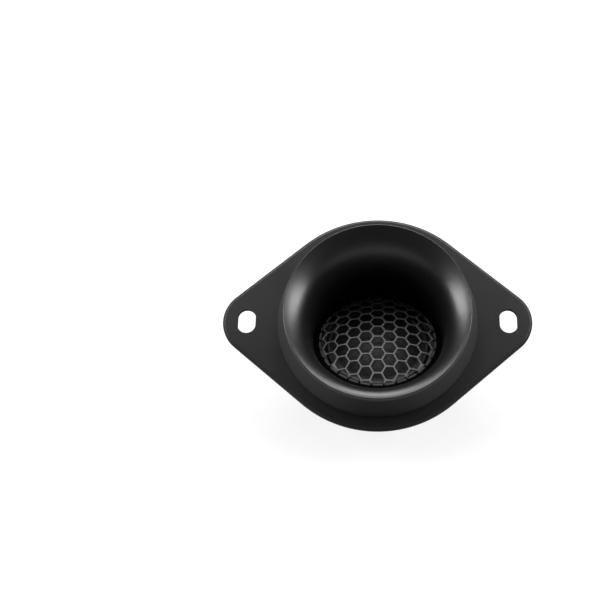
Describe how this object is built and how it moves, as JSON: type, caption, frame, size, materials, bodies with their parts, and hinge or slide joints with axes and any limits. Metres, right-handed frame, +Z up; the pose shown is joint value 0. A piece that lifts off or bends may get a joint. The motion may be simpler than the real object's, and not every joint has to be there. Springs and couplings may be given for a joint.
{
  "type": "car tweeter",
  "caption": "Car tweeter: soft-dome driver behind a domed hexagon mesh, tilted in a short horn on a flange with a slotted ear at each side.",
  "frame": {"origin": "centre of the magnet cup's flat back, on which the tweeter stands", "axes": "+Z up along the driver's axis and out of its mouth, +X along the two ears, +Y towards the raised edge of the flange, which leans 22 degrees towards -Y"},
  "size_m": [0.0864, 0.0654, 0.0426],
  "materials": {
    "satin_black_abs": "satin moulded ABS with a very fine grain",
    "black_steel_mesh": "charcoal powder-coated pressed steel",
    "black_abs_ring": "moulded ABS, matt",
    "black_foam": "closed-cell foam, open pores at the cut edges",
    "glass_filled_nylon": "moulded glass-filled nylon, dull",
    "zinc_plated_steel": "bright zinc plating over drawn steel",
    "nickel_plated_neodymium": "satin nickel plating",
    "turned_steel": "fine turned rings",
    "grey_wool_felt": "pressed felt",
    "coated_silk": "fine woven silk under a thin tacky coating",
    "aluminium_foil": "rolled foil",
    "enamelled_copper": "copper under clear enamel",
    "coated_silk_surround": "woven silk, coated, pressed to a half roll",
    "grey_polycarbonate": "moulded, dark grey, satin",
    "brown_phenolic_laminate": "sawn paper laminate",
    "tinned_brass": "stamped brass strip, tin plated",
    "tinned_rivet_steel": "tin plated, rolled heads",
    "bright_solder": "smooth set solder",
    "black_zinc_screw_steel": "black zinc plating"
  },
  "bodies": {
    "housing": {"horn_housing": "satin_black_abs", "grille_mesh": "black_steel_mesh", "grille_ring": "black_abs_ring", "front_gasket": "black_foam", "driver_frame": "glass_filled_nylon", "magnet_cup": "zinc_plated_steel", "magnet": "nickel_plated_neodymium", "pole_plate": "turned_steel", "damping_felt": "grey_wool_felt", "surround": "coated_silk_surround", "diaphragm_ring": "grey_polycarbonate", "terminal_board": "brown_phenolic_laminate", "positive_terminal": "tinned_brass", "negative_terminal": "tinned_brass", "terminal_rivets": "tinned_rivet_steel", "solder_joints": "bright_solder", "lead_out_wires": "enamelled_copper", "frame_screws": "black_zinc_screw_steel"},
    "diaphragm": {"dome_diaphragm": "coated_silk", "voice_coil_former": "aluminium_foil", "voice_coil_winding": "enamelled_copper"}
  },
  "joints": [
    {"name": "diaphragm_stroke", "type": "slide", "parent": "housing", "child": "diaphragm", "axis": [0, 0, 1], "range_m": [-0.0005, 0.0005], "stiffness_N_per_m": 100, "deforming": ["surround"]}
  ]
}
